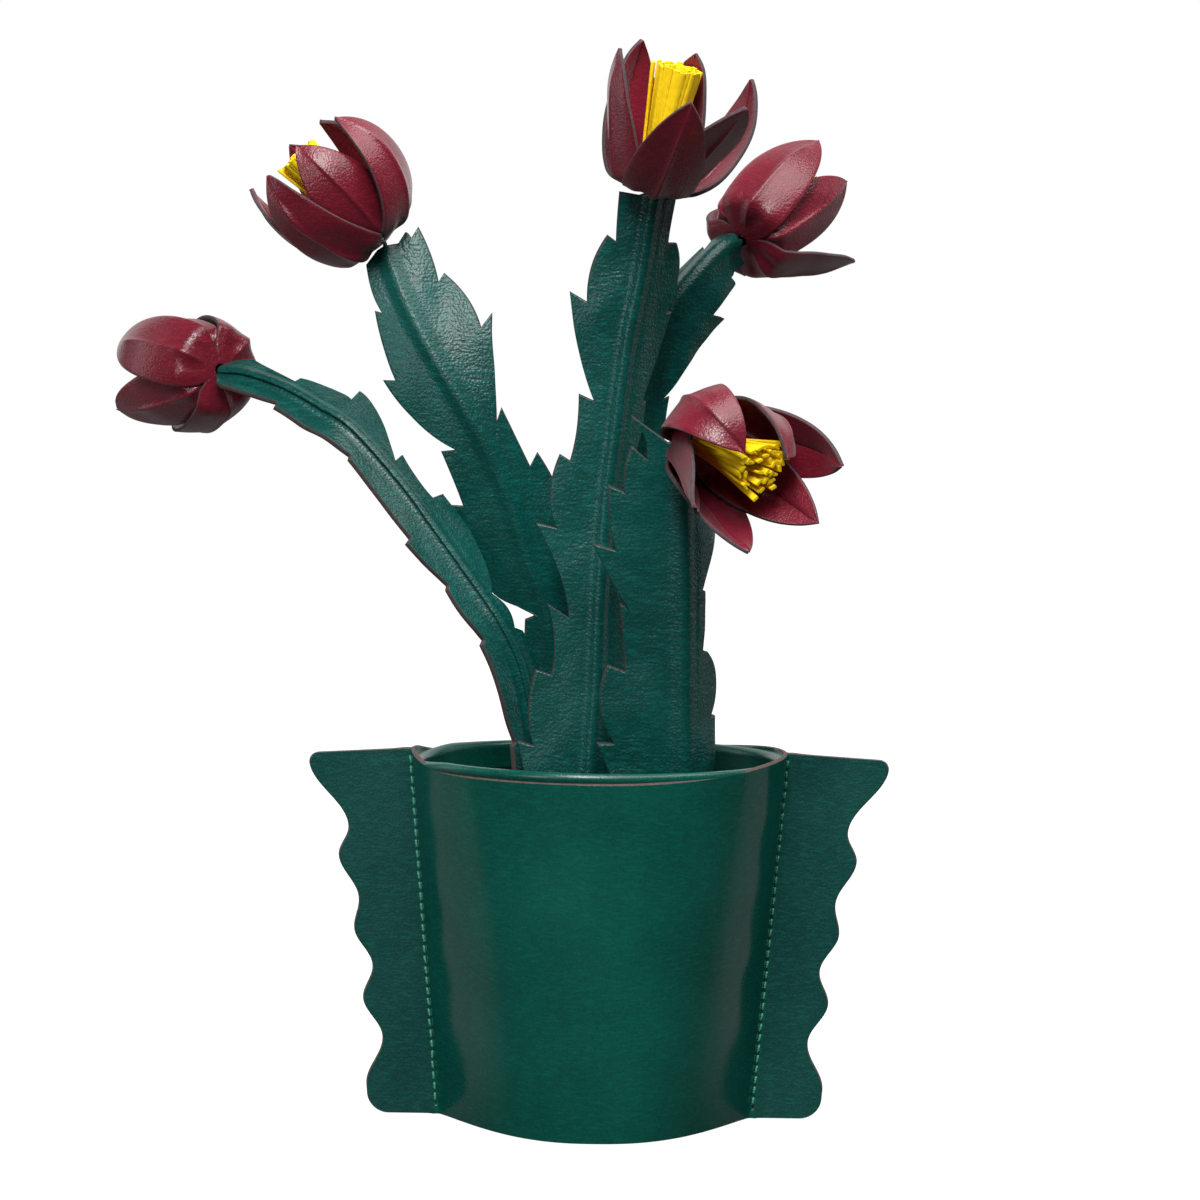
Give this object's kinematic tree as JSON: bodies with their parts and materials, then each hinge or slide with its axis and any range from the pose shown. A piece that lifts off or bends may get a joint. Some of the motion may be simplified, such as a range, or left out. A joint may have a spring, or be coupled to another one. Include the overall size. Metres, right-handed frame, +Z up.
{
  "type": "leather christmas cactus in a leather pot",
  "caption": "Ornament of a flowering christmas cactus: toothed leather leaf stems with blooms in a stitched, winged leather pot.",
  "frame": {"origin": "centre of the underside of the pot's base, on the surface that the pot stands on", "axes": "+Z up; -Y towards the front, the side that the picture shows; +X to the viewer's right"},
  "size_m": [0.2527, 0.1665, 0.3443],
  "materials": {
    "pot_leather": "deep green leather with a fine grain and a soft sheen, raw edges grey-brown",
    "leaf_leather": "deep teal-green leather with a fine grain and a greyish sheen",
    "petal_leather": "glossy burgundy leather",
    "stamen_leather": "bright yellow leather, matt",
    "seam_thread": "waxed teal-green thread",
    "steel_wire": "plain drawn wire",
    "block_wood": "bare wood, out of sight"
  },
  "bodies": {
    "root": {"pot_front_panel": "pot_leather", "pot_back_panel": "pot_leather", "seam_thread_front_left": "seam_thread", "seam_thread_front_right": "seam_thread", "seam_thread_back_left": "seam_thread", "seam_thread_back_right": "seam_thread", "pot_lining": "pot_leather", "pot_base": "pot_leather", "planting_block": "block_wood", "block_cover": "pot_leather", "leaf_1": "leaf_leather", "leaf_2": "leaf_leather", "leaf_3": "leaf_leather", "leaf_4": "leaf_leather", "leaf_5": "leaf_leather", "wire_1": "steel_wire", "wire_2": "steel_wire", "wire_3": "steel_wire", "wire_4": "steel_wire", "wire_5": "steel_wire", "flower_1_outer_petals": "petal_leather", "flower_1_inner_petals": "petal_leather", "flower_1_stamens": "stamen_leather", "flower_2_outer_petals": "petal_leather", "flower_2_inner_petals": "petal_leather", "flower_2_stamens": "stamen_leather", "flower_3_outer_petals": "petal_leather", "flower_3_inner_petals": "petal_leather", "flower_3_stamens": "stamen_leather", "flower_4_outer_petals": "petal_leather", "flower_4_inner_petals": "petal_leather", "flower_4_stamens": "stamen_leather", "flower_5_outer_petals": "petal_leather", "flower_5_inner_petals": "petal_leather", "flower_5_stamens": "stamen_leather"}
  },
  "joints": []
}
